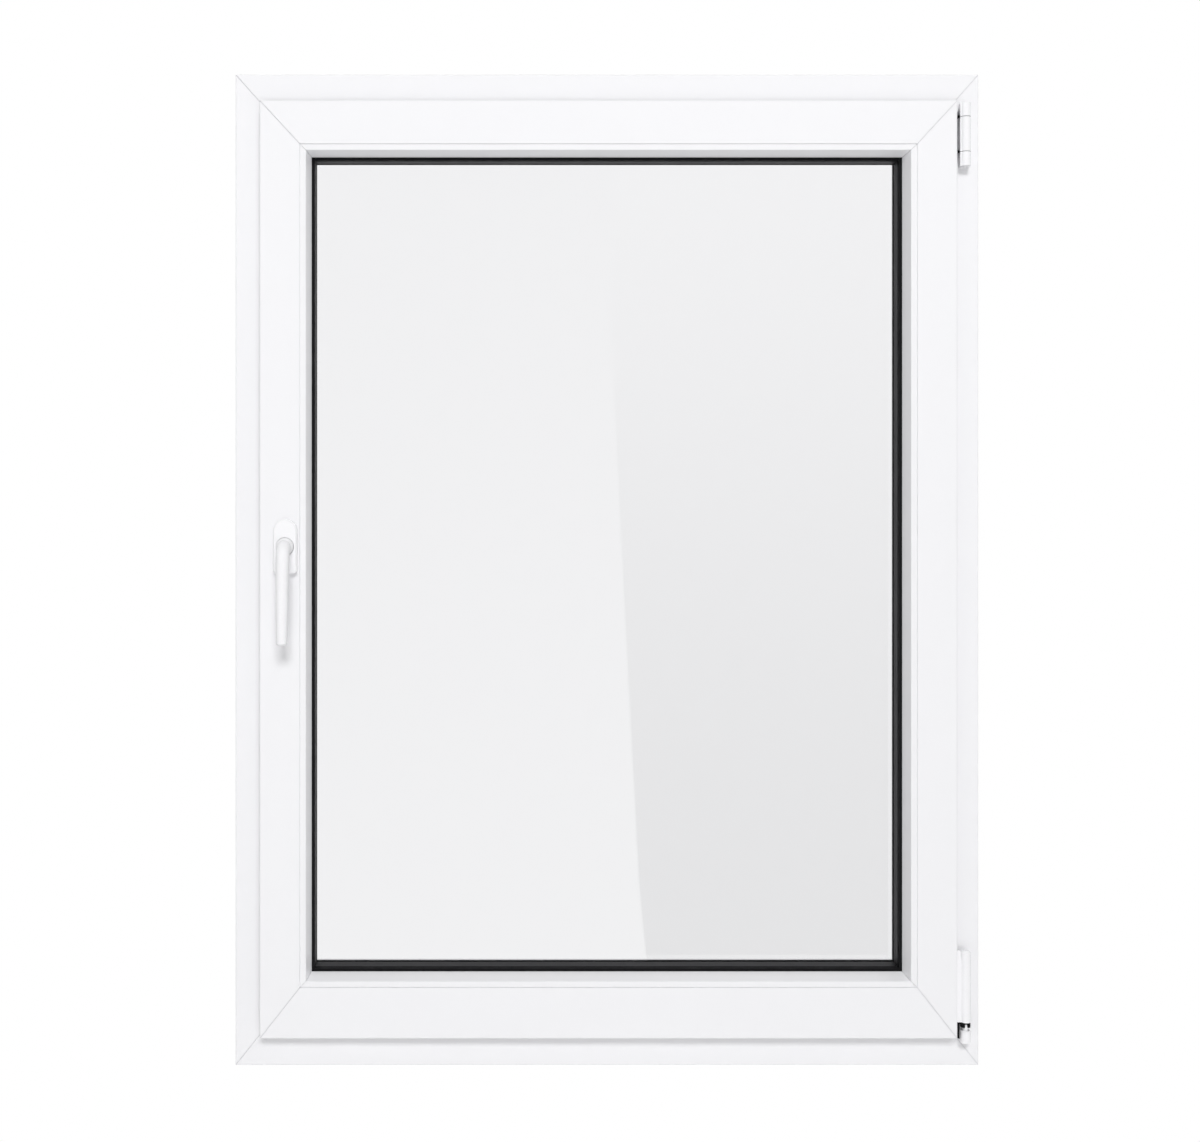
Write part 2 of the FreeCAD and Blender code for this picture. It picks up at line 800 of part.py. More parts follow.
def build():
    """Every node's shape by name."""
    nodes = {}
    drains = (-half_width + drain_slot_inset, half_width - drain_slot_inset)
    frame_names = {
        "left": "frame_left_jamb",
        "right": "frame_right_jamb",
        "top": "frame_head",
        "bottom": "frame_bottom_bar",
    }
    sash_names = {
        "left": "sash_left_stile",
        "right": "sash_right_stile",
        "top": "sash_top_rail",
        "bottom": "sash_bottom_rail",
    }
    for side in sides:
        bar = frame_bar(side)
        if side in ("left", "right"):
            bar = bar.cut(anchor_holes(side))
        if side == "bottom":
            bar = bar.cut([drain_slot(x) for x in drains])
        nodes[frame_names[side]] = bar
        rail = sash_bar(side)
        if side == "left":
            rail = rail.cut(spindle_hole())
        nodes[sash_names[side]] = rail
        nodes[f"{side}_glazing_bead"] = glazing_bead(side)
        nodes[f"{side}_faceplate"] = faceplate(side)

    seal_edge = lip_overlap + stop_height - stop_seal_inset
    nodes["frame_seal"] = ring(
        faces, seal_edge - seal_width, seal_edge, sash_back + seal_clearance, stop_face
    )
    nodes["sash_seal"] = sash_seal()
    nodes["inner_pane"] = pane(inner_pane_front)
    nodes["outer_pane"] = pane(outer_pane_front)
    sightline = bead_width + gasket_reach
    nodes["glass_spacer"] = ring(
        bead_joint, sightline - spacer_width, sightline, inner_pane_back, outer_pane_front
    )
    nodes["inner_gasket"] = ring(
        bead_joint, bead_width - gasket_bite, sightline, bead_back, inner_pane_front
    )
    nodes["outer_gasket"] = ring(
        bead_joint, bead_width - gasket_bite, sightline, outer_pane_back, flange_face
    )
    nodes["lock_keeps"] = Part.makeCompound([lock_keep(*place) for place in keep_places()])
    nodes["lock_cams"] = Part.makeCompound([lock_cam(*place) for place in keep_places()])
    nodes["stay_bearing"] = stay_bearing()
    nodes["stay_arm"] = stay_arm()
    nodes["stay_cover"] = stay_cover()
    nodes["stay_pin"] = upright(pin_radius, stay_z0 - stay_pin_proud, stay_z3 + stay_pin_proud)
    nodes["corner_bearing"] = corner_bearing()
    nodes["pivot_pin"] = pivot_pin()
    nodes["corner_hinge"] = corner_hinge()
    nodes["corner_hinge_cap"] = hinge_cap()
    nodes["handle_rosette"] = handle_rosette()
    nodes["handle_lever"] = handle_lever()
    nodes["handle_spindle"] = handle_spindle()
    nodes["drain_caps"] = Part.makeCompound([drain_cap(x) for x in drains])
    return nodes


os.makedirs("parts", exist_ok=True)
for name, shape in build().items():
    if not shape.isValid():
        raise ValueError(f"{name} is not a valid shape")
    shape.exportStep(f"parts/{name}.step")
    print(name, len(shape.Solids), round(shape.Volume))
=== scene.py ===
"""Looks of a white tilt and turn window: finishes, small fasteners, studio and camera."""
import math

import bmesh
import bpy
from mathutils import Matrix, Vector


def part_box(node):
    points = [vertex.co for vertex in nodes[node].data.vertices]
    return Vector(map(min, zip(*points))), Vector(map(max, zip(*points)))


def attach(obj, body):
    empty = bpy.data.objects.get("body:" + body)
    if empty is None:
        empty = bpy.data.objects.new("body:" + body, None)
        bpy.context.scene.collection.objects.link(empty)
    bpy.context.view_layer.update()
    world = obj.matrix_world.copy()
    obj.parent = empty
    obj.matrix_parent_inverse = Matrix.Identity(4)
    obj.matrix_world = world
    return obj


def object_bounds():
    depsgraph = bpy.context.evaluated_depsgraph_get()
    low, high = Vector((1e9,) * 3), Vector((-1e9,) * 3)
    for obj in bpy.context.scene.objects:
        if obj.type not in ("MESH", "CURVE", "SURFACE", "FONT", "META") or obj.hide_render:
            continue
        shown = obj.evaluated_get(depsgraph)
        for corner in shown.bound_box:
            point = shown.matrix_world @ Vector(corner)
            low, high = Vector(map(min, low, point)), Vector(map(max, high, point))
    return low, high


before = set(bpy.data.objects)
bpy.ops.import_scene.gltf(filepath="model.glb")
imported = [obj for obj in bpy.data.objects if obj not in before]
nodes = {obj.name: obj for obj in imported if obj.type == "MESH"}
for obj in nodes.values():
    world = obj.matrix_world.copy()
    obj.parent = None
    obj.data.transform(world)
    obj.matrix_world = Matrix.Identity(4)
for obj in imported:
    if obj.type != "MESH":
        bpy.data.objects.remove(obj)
cad_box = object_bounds()

# Camera, in metres: it looks straight along +Y, and the lens shift frames the window
camera_x = -0.160
camera_z = 0.744
camera_distance = 1.750
frame_face_y = -0.035
metres_per_pixel = 0.0012113
image_width = 1200
image_height = 1142
frame_left_pixel = 235.5
frame_top_pixel = 74.5
sensor_width = 36.0

# Colours, linear
white_plastic = (0.905, 0.904, 0.922)
white_enamel = (0.938, 0.936, 0.953)
black_rubber = (0.008, 0.008, 0.009)
black_spacer = (0.020, 0.020, 0.022)
zinc_grey = (0.50, 0.51, 0.53)
# Painted shade: the seam grey stands in for the shade in the welded seams' grooves
seam_shade_grey = (0.79, 0.79, 0.81)
glass_tint = (0.971, 0.971, 0.974)

# Sheen: specular levels
plastic_sheen = 0.42
black_sheen = 0.10

# Studio: the world's light, and each lamp's place, width and height, and power in watts
ambient_light = 0.40
lamp_target = (0.0, 0.0, 0.6)
lamps = {
    "fill": ((0.0, -3.6, -0.30), (3.0, 0.5), 12.0),
    "key": ((0.0, -5.2, 4.0), (2.2, 1.3), 188.0),
    "outdoor": ((1.0, 3.0, 1.9), (2.0, 2.0), 40.0),
}

# Floor: it shows shadow out to one distance from the window, and is white from the next
floor_drop = 0.85
floor_size = 40.0
floor_colour = (0.9, 0.9, 0.9)
floor_roughness = 0.9
floor_sheen = 0.1
floor_shadow_reach = 0.8
floor_white_from = 1.7

# Glass: an index that gives both faces' mirror share at one, and the part that mirrors, since
# the rest lies over the unit's dark edge
glass_mirror_index = 1.8
mirror_width = (-0.3518, 0.3475)
mirror_height = (0.1251, 1.0917)

# Welded corner joints, where a grey line paints the shade in their grooves: lines through two
# points (x, z), low and high
seam_width = 0.0010
frame_seams = [((0.450, 0.0), (0.418, 0.040)), ((0.450, 1.2), (0.418, 1.164))]
sash_seams = [((0.418, 0.040), (0.370, 0.101)), ((0.418, 1.164), (0.370, 1.112))]

# Room that the glass reflects: a bright part on the left and a dimmer part on the right, with
# their common edge given by points (x, z) on the glass
reflection_edge = [(0.006, 1.13), (0.006, 0.89), (0.022, 0.56), (0.040, 0.22), (0.051, 0.10)]
room_wall_y = -2.6
room_wall_half_width = 3.4
room_wall_top = 4.2
room_wall_gap = 0.01
bright_room = 0.86
dim_room_low = 0.16
dim_room_high = 0.95
dim_room_rise_end = 2.0

# Round heads: shares of their radius and height, from the rim to the top
screw_dome = ((1.0, 0.0), (0.98, 0.45), (0.80, 0.85), (0.62, 1.0))
rivet_dome = ((1.0, 0.0), (0.95, 0.5), (0.7, 0.9), (0.3, 1.0))
head_segments = 48
smooth_angle = 35

# Screw heads: on the keeps and on the faceplates, with a star recess
keep_screw_radius = 0.0036
keep_screw_height = 0.0012
plate_screw_radius = 0.0030
plate_screw_height = 0.0005
recess_share = 0.40
recess_taper = 0.85
recess_floor = 0.1
recess_wave = 0.16
recess_points = 6

# Lock keeps: side and centre along it, with two screws each
keep_centres = [
    ("left", 0.230), ("left", 0.974), ("right", 0.310), ("right", 0.894),
    ("top", -0.228), ("bottom", -0.228), ("bottom", 0.148),
]
keep_screw_offset = 0.022
keep_screw_line = -0.0205
keep_thickness = 0.002

# Faceplate screws along each side
plate_screws = {
    "left": (0.110, 0.330, 0.520, 0.740, 0.860, 1.095),
    "right": (0.200, 0.420, 0.600, 0.780, 1.010, 1.095),
    "top": (-0.360, -0.120, 0.0),
    "bottom": (-0.360, -0.100, 0.040, 0.260, 0.360),
}

# Screws of the corner hinge's flange
flange_screws = (0.080, 0.120)
flange_thickness = 0.003

# Hinges: joints of the top one, the sleeve of the bottom one, and black blocks that paint the shade
# in the gap beside the sash's edge
hinge_x = 0.4305
hinge_y = -0.045
washer_radius = 0.0062
washer_points = 36
knuckle_gaps = (1.1042, 1.1463)
washer_thickness = 0.0005
# Painted shade: black blocks in the gap between the sash's edge and the hinges, by distances from
# the hinge axis
gap_shade_inner = 0.0077
gap_shade_outer = 0.0097
gap_shade_front = 0.0030
gap_shade_back = 0.0062
gap_shade_height = 0.0028
boot_inner_radius = 0.0036
boot_outer_radius = 0.0060
boot_bottom = 0.0510
boot_ring_bottom = 0.0554
boot_top = 0.0569
boot_slot_angle = 22.0
boot_sleeve_steps = 40
boot_ring_steps = 48
# Lowest point of the black tongue that paints the shade beside the bottom hinge's cup
shade_tongue_bottom = 0.0375

# Rivet of the stay arm's guide pin
guide_x = 0.0505
rivet_radius = 0.0048
rivet_height = 0.0007
stay_leaf_rise = 0.002


def scene_object(name, data):
    """A new object in the scene that shows a mesh, a lamp or a camera."""
    item = bpy.data.objects.new(name, data)
    bpy.context.scene.collection.objects.link(item)
    return item


def new_material(name):
    """A new material, its node tree and its Principled shader."""
    material = bpy.data.materials.new(name)
    material.use_nodes = True
    tree = material.node_tree
    shader = tree.nodes["Principled BSDF"]
    return material, tree, shader


def add_node(tree, kind, **settings):
    """A node of one kind, with its own properties set."""
    node = tree.nodes.new(kind)
    for name, value in settings.items():
        setattr(node, name, value)
    return node


def bare_material(name):
    """A new material, its node tree with nothing but an output, and that output."""
    material = bpy.data.materials.new(name)
    material.use_nodes = True
    tree = material.node_tree
    tree.nodes.clear()
    output = add_node(tree, "ShaderNodeOutputMaterial")
    return material, tree, output


def noise(tree, scale, detail=3.0, stretch=(1.0, 1.0, 1.0)):
    """A noise pattern in object coordinates, stretched along the axes; gives its value socket."""
    coordinates = add_node(tree, "ShaderNodeTexCoord")
    mapping = add_node(tree, "ShaderNodeMapping")
    mapping.inputs["Scale"].default_value = stretch
    pattern = add_node(tree, "ShaderNodeTexNoise")
    pattern.inputs["Scale"].default_value = scale
    pattern.inputs["Detail"].default_value = detail
    tree.links.new(coordinates.outputs["Object"], mapping.inputs["Vector"])
    tree.links.new(mapping.outputs["Vector"], pattern.inputs["Vector"])
    return pattern.outputs["Fac"]


def in_range(tree, socket, low, high):
    """A value from 0 to 1 spread between low and high."""
    node = add_node(tree, "ShaderNodeMapRange")
    node.inputs["To Min"].default_value = low
    node.inputs["To Max"].default_value = high
    tree.links.new(socket, node.inputs["Value"])
    return node.outputs["Result"]


def vary_colour(tree, shader, colour, socket, spread):
    """Colours the shader with colour, made lighter and darker by spread along the pattern."""
    mix = add_node(tree, "ShaderNodeMix", data_type="RGBA")
    mix.inputs["A"].default_value = (*[c * (1 - spread) for c in colour], 1)
    mix.inputs["B"].default_value = (*[min(1.0, c * (1 + spread)) for c in colour], 1)
    tree.links.new(socket, mix.inputs["Factor"])
    tree.links.new(mix.outputs["Result"], shader.inputs["Base Color"])


def vary_roughness(tree, shader, socket, low, high):
    """Roughness from low to high along the pattern."""
    tree.links.new(in_range(tree, socket, low, high), shader.inputs["Roughness"])


def add_bump(tree, shader, socket, distance, strength):
    """Raises the surface by up to distance, in metres, along the pattern."""
    bump = add_node(tree, "ShaderNodeBump")
    bump.inputs["Distance"].default_value = distance
    bump.inputs["Strength"].default_value = strength
    tree.links.new(socket, bump.inputs["Height"])
    tree.links.new(bump.outputs["Normal"], shader.inputs["Normal"])


def on_line(tree, parts, start, end):
    """1 within half a seam of the line through two points (x, z), mirrored left and right."""
    dx = end[0] - start[0]
    dz = end[1] - start[1]
    length = math.hypot(dx, dz)
    offset = (start[0] * dz - start[1] * dx) / length
    side = add_node(tree, "ShaderNodeMath", operation="ABSOLUTE")
    across = add_node(tree, "ShaderNodeMath", operation="MULTIPLY_ADD")
    rise = add_node(tree, "ShaderNodeMath", operation="MULTIPLY_ADD")
    near = add_node(tree, "ShaderNodeMath", operation="ABSOLUTE")
    inside = add_node(tree, "ShaderNodeMath", operation="LESS_THAN")
    across.inputs[1].default_value = dz / length
    across.inputs[2].default_value = -offset
    rise.inputs[1].default_value = -dx / length
    inside.inputs[1].default_value = seam_width / 2
    tree.links.new(parts.outputs["X"], side.inputs[0])
    tree.links.new(side.outputs[0], across.inputs[0])
    tree.links.new(parts.outputs["Z"], rise.inputs[0])
    tree.links.new(across.outputs[0], rise.inputs[2])
    tree.links.new(rise.outputs[0], near.inputs[0])
    tree.links.new(near.outputs[0], inside.inputs[0])
    return inside.outputs[0]


def paint_seam_shade(tree, shader, lines):
    """Paints shade on the welded corner joints of a bar: greys them along lines given by two points
    (x, z) each, for the shade in their grooves.
    """
    coordinates = add_node(tree, "ShaderNodeTexCoord")
    parts = add_node(tree, "ShaderNodeSeparateXYZ")
    both = add_node(tree, "ShaderNodeMath", operation="MAXIMUM")
    mix = add_node(tree, "ShaderNodeMix", data_type="RGBA")
    tree.links.new(coordinates.outputs["Object"], parts.inputs["Vector"])
    for i, line in enumerate(lines):
        tree.links.new(on_line(tree, parts, *line), both.inputs[i])
    socket = shader.inputs["Base Color"].links[0].from_socket
    tree.links.new(both.outputs[0], mix.inputs["Factor"])
    tree.links.new(socket, mix.inputs["A"])
    mix.inputs["B"].default_value = (*seam_shade_grey, 1)
    tree.links.new(mix.outputs["Result"], shader.inputs["Base Color"])


def plastic_material(name, stretch, seams):
    """Extruded white plastic: satin, with faint streaks along the bar and painted shade along the
    welded seams.
    """
    material, tree, shader = new_material(name)
    vary_colour(tree, shader, white_plastic, noise(tree, scale=9.0), spread=0.006)
    # Painted shade along the welded seams
    if seams:
        paint_seam_shade(tree, shader, seams)
    streaks = noise(tree, scale=420.0, detail=2.0, stretch=stretch)
    vary_roughness(tree, shader, streaks, low=0.30, high=0.40)
    add_bump(tree, shader, streaks, distance=0.00002, strength=0.35)
    shader.inputs["Specular IOR Level"].default_value = plastic_sheen
    return material


def enamel_material():
    """White powder coat on cast and pressed metal, with a fine orange peel."""
    material, tree, shader = new_material("white_enamel")
    vary_colour(tree, shader, white_enamel, noise(tree, scale=20.0), spread=0.005)
    peel = noise(tree, scale=1500.0, detail=2.0)
    vary_roughness(tree, shader, peel, low=0.22, high=0.32)
    add_bump(tree, shader, peel, distance=0.00002, strength=0.30)
    return material


def rubber_material():
    """Matt black rubber with a dusty grain."""
    material, tree, shader = new_material("black_rubber")
    grain = noise(tree, scale=900.0, detail=4.0)
    vary_colour(tree, shader, black_rubber, grain, spread=0.35)
    vary_roughness(tree, shader, grain, low=0.55, high=0.80)
    add_bump(tree, shader, grain, distance=0.00005, strength=0.5)
    shader.inputs["Specular IOR Level"].default_value = black_sheen
    return material


def spacer_material():
    """The black warm-edge bar, with faint ribs along it."""
    material, tree, shader = new_material("warm_edge_spacer")
    ribs = noise(tree, scale=700.0, detail=2.0, stretch=(0.02, 1.0, 0.02))
    vary_colour(tree, shader, black_spacer, ribs, spread=0.3)
    vary_roughness(tree, shader, ribs, low=0.40, high=0.60)
    add_bump(tree, shader, ribs, distance=0.0001, strength=0.5)
    shader.inputs["Specular IOR Level"].default_value = black_sheen
    return material


def steel_material():
    """Zinc-plated steel with brushed, slightly mottled plating."""
    material, tree, shader = new_material("zinc_plated_steel")
    mottle = noise(tree, scale=60.0, detail=5.0)
    vary_colour(tree, shader, zinc_grey, mottle, spread=0.10)
    brushed = noise(tree, scale=800.0, detail=2.0, stretch=(0.05, 1.0, 0.05))
    vary_roughness(tree, shader, brushed, low=0.28, high=0.46)
    add_bump(tree, shader, brushed, distance=0.00003, strength=0.4)
    shader.inputs["Metallic"].default_value = 1.0
    return material


def within(tree, socket, low, high):
    """1 where a value lies between low and high, else 0."""
    node = add_node(tree, "ShaderNodeMath", operation="COMPARE")
    node.inputs[1].default_value = (low + high) / 2
    node.inputs[2].default_value = (high - low) / 2
    tree.links.new(socket, node.inputs[0])
    return node.outputs[0]


def product(tree, first, second):
    """The product of two values."""
    node = add_node(tree, "ShaderNodeMath", operation="MULTIPLY")
    tree.links.new(first, node.inputs[0])
    tree.links.new(second, node.inputs[1])
    return node.outputs[0]


def glass_material():
    """Clear float glass: a pale tint, and one mirror share by angle where a ray enters a pane."""
    material, tree, output = bare_material("float_glass")
    mix = add_node(tree, "ShaderNodeMixShader")
    through = add_node(tree, "ShaderNodeBsdfTransparent")
    mirror = add_node(tree, "ShaderNodeBsdfGlossy")
    share = add_node(tree, "ShaderNodeFresnel")
    share.inputs["IOR"].default_value = glass_mirror_index
    through.inputs["Color"].default_value = (*glass_tint, 1)
    mirror.inputs["Color"].default_value = (1, 1, 1, 1)
    mirror.inputs["Roughness"].default_value = 0.0
    coordinates = add_node(tree, "ShaderNodeTexCoord")
    parts = add_node(tree, "ShaderNodeSeparateXYZ")
    tree.links.new(coordinates.outputs["Object"], parts.inputs["Vector"])
    across = within(tree, parts.outputs["X"], *mirror_width)
    upward = within(tree, parts.outputs["Z"], *mirror_height)
    side = add_node(tree, "ShaderNodeNewGeometry")
    # Backfacing is 0 where a ray enters a pane and 1 where it leaves one
    entry = within(tree, side.outputs["Backfacing"], -0.5, 0.5)
    place = product(tree, product(tree, across, upward), entry)
    tree.links.new(product(tree, share.outputs["Fac"], place), mix.inputs["Fac"])
    tree.links.new(through.outputs["BSDF"], mix.inputs[1])
    tree.links.new(mirror.outputs["BSDF"], mix.inputs[2])
    tree.links.new(mix.outputs["Shader"], output.inputs["Surface"])
    return material


def give(material, *names):
    """Puts one material on CAD nodes."""
    for name in names:
        mesh = nodes[name].data
        mesh.materials.clear()
        mesh.materials.append(material)


def finish_nodes():
    """Every CAD node's finish; gives the steel and the rubber, which the small pieces share."""
    along_bar = 0.004
    upright = (1.0, 1.0, along_bar)
    level = (along_bar, 1.0, 1.0)
    frame_upright = plastic_material("frame_plastic_upright", upright, frame_seams)
    frame_level = plastic_material("frame_plastic_level", level, frame_seams)
    sash_upright = plastic_material("sash_plastic_upright", upright, sash_seams)
    sash_level = plastic_material("sash_plastic_level", level, sash_seams)
    bead_upright = plastic_material("bead_plastic_upright", upright, [])
    bead_level = plastic_material("bead_plastic_level", level, [])
    enamel = enamel_material()
    rubber = rubber_material()
    steel = steel_material()
    give(frame_upright, "frame_left_jamb", "frame_right_jamb")
    give(frame_level, "frame_head", "frame_bottom_bar", "drain_caps")
    give(sash_upright, "sash_left_stile", "sash_right_stile")
    give(bead_upright, "left_glazing_bead", "right_glazing_bead")
    give(sash_level, "sash_top_rail", "sash_bottom_rail")
    give(bead_level, "top_glazing_bead", "bottom_glazing_bead")
    give(enamel, "stay_bearing", "stay_cover", "corner_bearing", "corner_hinge", "corner_hinge_cap")
    give(enamel, "handle_rosette", "handle_lever", "pivot_pin", "stay_pin")
    give(rubber, "frame_seal", "sash_seal", "inner_gasket", "outer_gasket")
    give(steel, "lock_keeps", "lock_cams", "stay_arm", "handle_spindle")
    give(steel, *[f"{side}_faceplate" for side in ("left", "right", "top", "bottom")])
    give(spacer_material(), "glass_spacer")
    give(glass_material(), "inner_pane", "outer_pane")
    return steel, rubber


def emission_for_sight(tree):
    """A socket that is 1 for rays that see a thing and 0 for rays that light it."""
    path = add_node(tree, "ShaderNodeLightPath")
    add = add_node(tree, "ShaderNodeMath", operation="ADD", use_clamp=True)
    add_more = add_node(tree, "ShaderNodeMath", operation="ADD", use_clamp=True)
    tree.links.new(path.outputs["Is Camera Ray"], add.inputs[0])
    tree.links.new(path.outputs["Is Glossy Ray"], add.inputs[1])
    tree.links.new(add.outputs[0], add_more.inputs[0])
    tree.links.new(path.outputs["Is Transmission Ray"], add_more.inputs[1])
    return add_more.outputs[0]


def build_world():
    """White to the eye and in reflections, and a plain soft light on the object."""
    world = bpy.data.worlds.new("studio")
    bpy.context.scene.world = world
    world.use_nodes = True
    tree = world.node_tree
    background = tree.nodes["Background"]
    background.inputs["Color"].default_value = (1, 1, 1, 1)
    strength = in_range(tree, emission_for_sight(tree), ambient_light, 1.0)
    tree.links.new(strength, background.inputs["Strength"])


def area_light(name, place, size, power):
    """A soft rectangular lamp at place, aimed at the window and not seen in reflections."""
    data = bpy.data.lights.new(name, "AREA")
    data.shape = "RECTANGLE"
    data.size = size[0]
    data.size_y = size[1]
    data.energy = power
    lamp = scene_object(name, data)
    aim = Vector(lamp_target) - Vector(place)
    lamp.location = place
    lamp.rotation_euler = aim.to_track_quat("-Z", "Y").to_euler()
    lamp.visible_glossy = False


def build_lights():
    """A key lamp far in front and above, a low fill lamp, and one lamp outdoors."""
    for name, (place, size, power) in lamps.items():
        area_light(name, place, size, power)


def floor_material():
    """A pale floor that keeps the shadow near the window and is white further out."""
    material, tree, shader = new_material("pale_floor")
    shader.inputs["Base Color"].default_value = (*floor_colour, 1)
    shader.inputs["Roughness"].default_value = floor_roughness
    shader.inputs["Specular IOR Level"].default_value = floor_sheen
    glow = add_node(tree, "ShaderNodeEmission")
    mix = add_node(tree, "ShaderNodeMixShader")
    place = add_node(tree, "ShaderNodeNewGeometry")
    length = add_node(tree, "ShaderNodeVectorMath", operation="LENGTH")
    ramp = add_node(tree, "ShaderNodeMapRange", clamp=True)
    ramp.inputs["From Min"].default_value = floor_shadow_reach
    ramp.inputs["From Max"].default_value = floor_white_from
    share = add_node(tree, "ShaderNodeMath", operation="MULTIPLY")
    tree.links.new(place.outputs["Position"], length.inputs[0])
    tree.links.new(length.outputs["Value"], ramp.inputs["Value"])
    tree.links.new(ramp.outputs["Result"], share.inputs[0])
    tree.links.new(emission_for_sight(tree), share.inputs[1])
    tree.links.new(share.outputs[0], mix.inputs["Fac"])
    tree.links.new(shader.outputs["BSDF"], mix.inputs[1])
    tree.links.new(glow.outputs["Emission"], mix.inputs[2])
    tree.links.new(mix.outputs["Shader"], tree.nodes["Material Output"].inputs["Surface"])
    return material


def build_floor():
    """The floor, as far below the window as a sill stands above it."""
    mesh = bpy.data.meshes.new("floor")
    half = floor_size / 2
    corners = [(-half, -half), (half, -half), (half, half), (-half, half)]
    mesh.from_pydata([(x, y, -floor_drop) for x, y in corners], [], [(0, 1, 2, 3)])
    mesh.materials.append(floor_material())
    scene_object("floor", mesh)


def room_wall_material(name, low, high):
    """A glowing wall, from one brightness at the floor to another higher up."""
    material, tree, output = bare_material(name)
    glow = add_node(tree, "ShaderNodeEmission")
    place = add_node(tree, "ShaderNodeNewGeometry")
    parts = add_node(tree, "ShaderNodeSeparateXYZ")
    rise = add_node(tree, "ShaderNodeMapRange", interpolation_type="SMOOTHSTEP")
    rise.inputs["From Min"].default_value = -floor_drop
    rise.inputs["From Max"].default_value = dim_room_rise_end
    rise.inputs["To Min"].default_value = low
    rise.inputs["To Max"].default_value = high
    tree.links.new(place.outputs["Position"], parts.inputs["Vector"])
    tree.links.new(parts.outputs["Z"], rise.inputs["Value"])
    tree.links.new(rise.outputs["Result"], glow.inputs["Strength"])
    tree.links.new(glow.outputs["Emission"], output.inputs["Surface"])
    return material


def mirrored(point, glass_y, camera_y):
    """Where the line of sight that the glass mirrors at a point (x, z) meets the room wall."""
    stretch = (2 * glass_y - camera_y - room_wall_y) / (glass_y - camera_y)
    x = camera_x + (point[0] - camera_x) * stretch
    z = camera_z + (point[1] - camera_z) * stretch
    return x, z


def build_room_wall():
    """The room that only reflections show: two walls that meet along the edge in the glass."""
    glass_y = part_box("inner_pane")[0][1]
    edge = [mirrored(point, glass_y, frame_face_y - camera_distance) for point in reflection_edge]
    edge = [(edge[0][0], room_wall_top)] + edge
    edge[-1] = (edge[-1][0], -floor_drop + room_wall_gap)
    parts = {
        "room_bright": (-room_wall_half_width, bright_room, bright_room),
        "room_dim": (room_wall_half_width, dim_room_low, dim_room_high),
    }
    for name, (far_x, low, high) in parts.items():
        mesh = bpy.data.meshes.new(name)
        points = [(x, room_wall_y, z) for x, z in edge]
        points += [(far_x, room_wall_y, z) for x, z in reversed(edge)]
        mesh.from_pydata(points, [], [tuple(range(len(points)))])
        mesh.materials.append(room_wall_material(name, low, high))
        wall = scene_object(name, mesh)
        wall.visible_camera = False
        wall.visible_diffuse = False
        wall.visible_transmission = False
        wall.visible_shadow = False


def lathe(bm, rings, place):
    """Adds a closed lathed shape to bm: rings of (radius, height, wave), set by a matrix."""
    loops = []
    for radius, height, wave in rings:
        loop = []
        for i in range(head_segments):
            turn = 2 * math.pi * i / head_segments
            r = radius * (1 + wave * math.cos(recess_points * turn))
            point = Vector((r * math.cos(turn), r * math.sin(turn), height))
            loop.append(bm.verts.new(place @ point))
        loops.append(loop)
    for low, high in zip(loops, loops[1:]):
        for i in range(head_segments):
            j = (i + 1) % head_segments
            bm.faces.new((low[i], low[j], high[j], high[i]))
    bm.faces.new(loops[0][::-1])
    bm.faces.new(loops[-1])


def piece_from(bm, name, material, body):
    """Makes a piece from a bmesh, smooth but for its sharp edges, that rides on a body."""
    mesh = bpy.data.meshes.new(name)
    bmesh.ops.recalc_face_normals(bm, faces=bm.faces)
    bm.to_mesh(mesh)
    bm.free()
    mesh.materials.append(material)
    mesh.shade_smooth()
    mesh.set_sharp_from_angle(angle=math.radians(smooth_angle))
    piece = scene_object(name, mesh)
    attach(piece, body)


def facing(side, depth, y, along):
    """A frame of reference at a depth in from one side, whose Z points toward the middle."""
    low, high = cad_box
    places = {
        "left": ((low[0] + depth, y, along), (1, 0, 0)),
        "right": ((high[0] - depth, y, along), (-1, 0, 0)),
        "top": ((along, y, high[2] - depth), (0, 0, -1)),
        "bottom": ((along, y, low[2] + depth), (0, 0, 1)),
    }
    place, way = places[side]
    turn = Vector(way).to_track_quat("Z", "Y").to_matrix().to_4x4()
    return Matrix.Translation(place) @ turn


def side_depths(box):
    """How far in from each side of the window a box begins."""
    low, high = cad_box
    return {
        "left": box[0][0] - low[0],
        "right": high[0] - box[1][0],
        "top": high[2] - box[1][2],
        "bottom": box[0][2] - low[2],
    }


def middle_depth(box):
    """The middle of a box along Y."""
    return (box[0][1] + box[1][1]) / 2


def dome(radius, height, profile):
    """Rings of a round head, from the rim to the top."""
    return [(radius * across, height * up, 0.0) for across, up in profile]


def screw_rings(radius, height):
    """A domed screw head with a star recess."""
    recess = radius * recess_share
    return dome(radius, height, screw_dome) + [
        (recess, height, recess_wave),
        (recess * recess_taper, height * recess_floor, recess_wave),
    ]


def build_keep_screws(steel):
    """Two screws in each lock keep, with their heads toward the middle of the window."""
    depths = side_depths(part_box("lock_keeps"))
    rings = screw_rings(keep_screw_radius, keep_screw_height)
    bm = bmesh.new()
    for side, centre in keep_centres:
        ground = depths[side] + keep_thickness
        for offset in (-keep_screw_offset, keep_screw_offset):
            lathe(bm, rings, facing(side, ground, keep_screw_line, centre + offset))
    piece_from(bm, "keep_screws", steel, "frame")


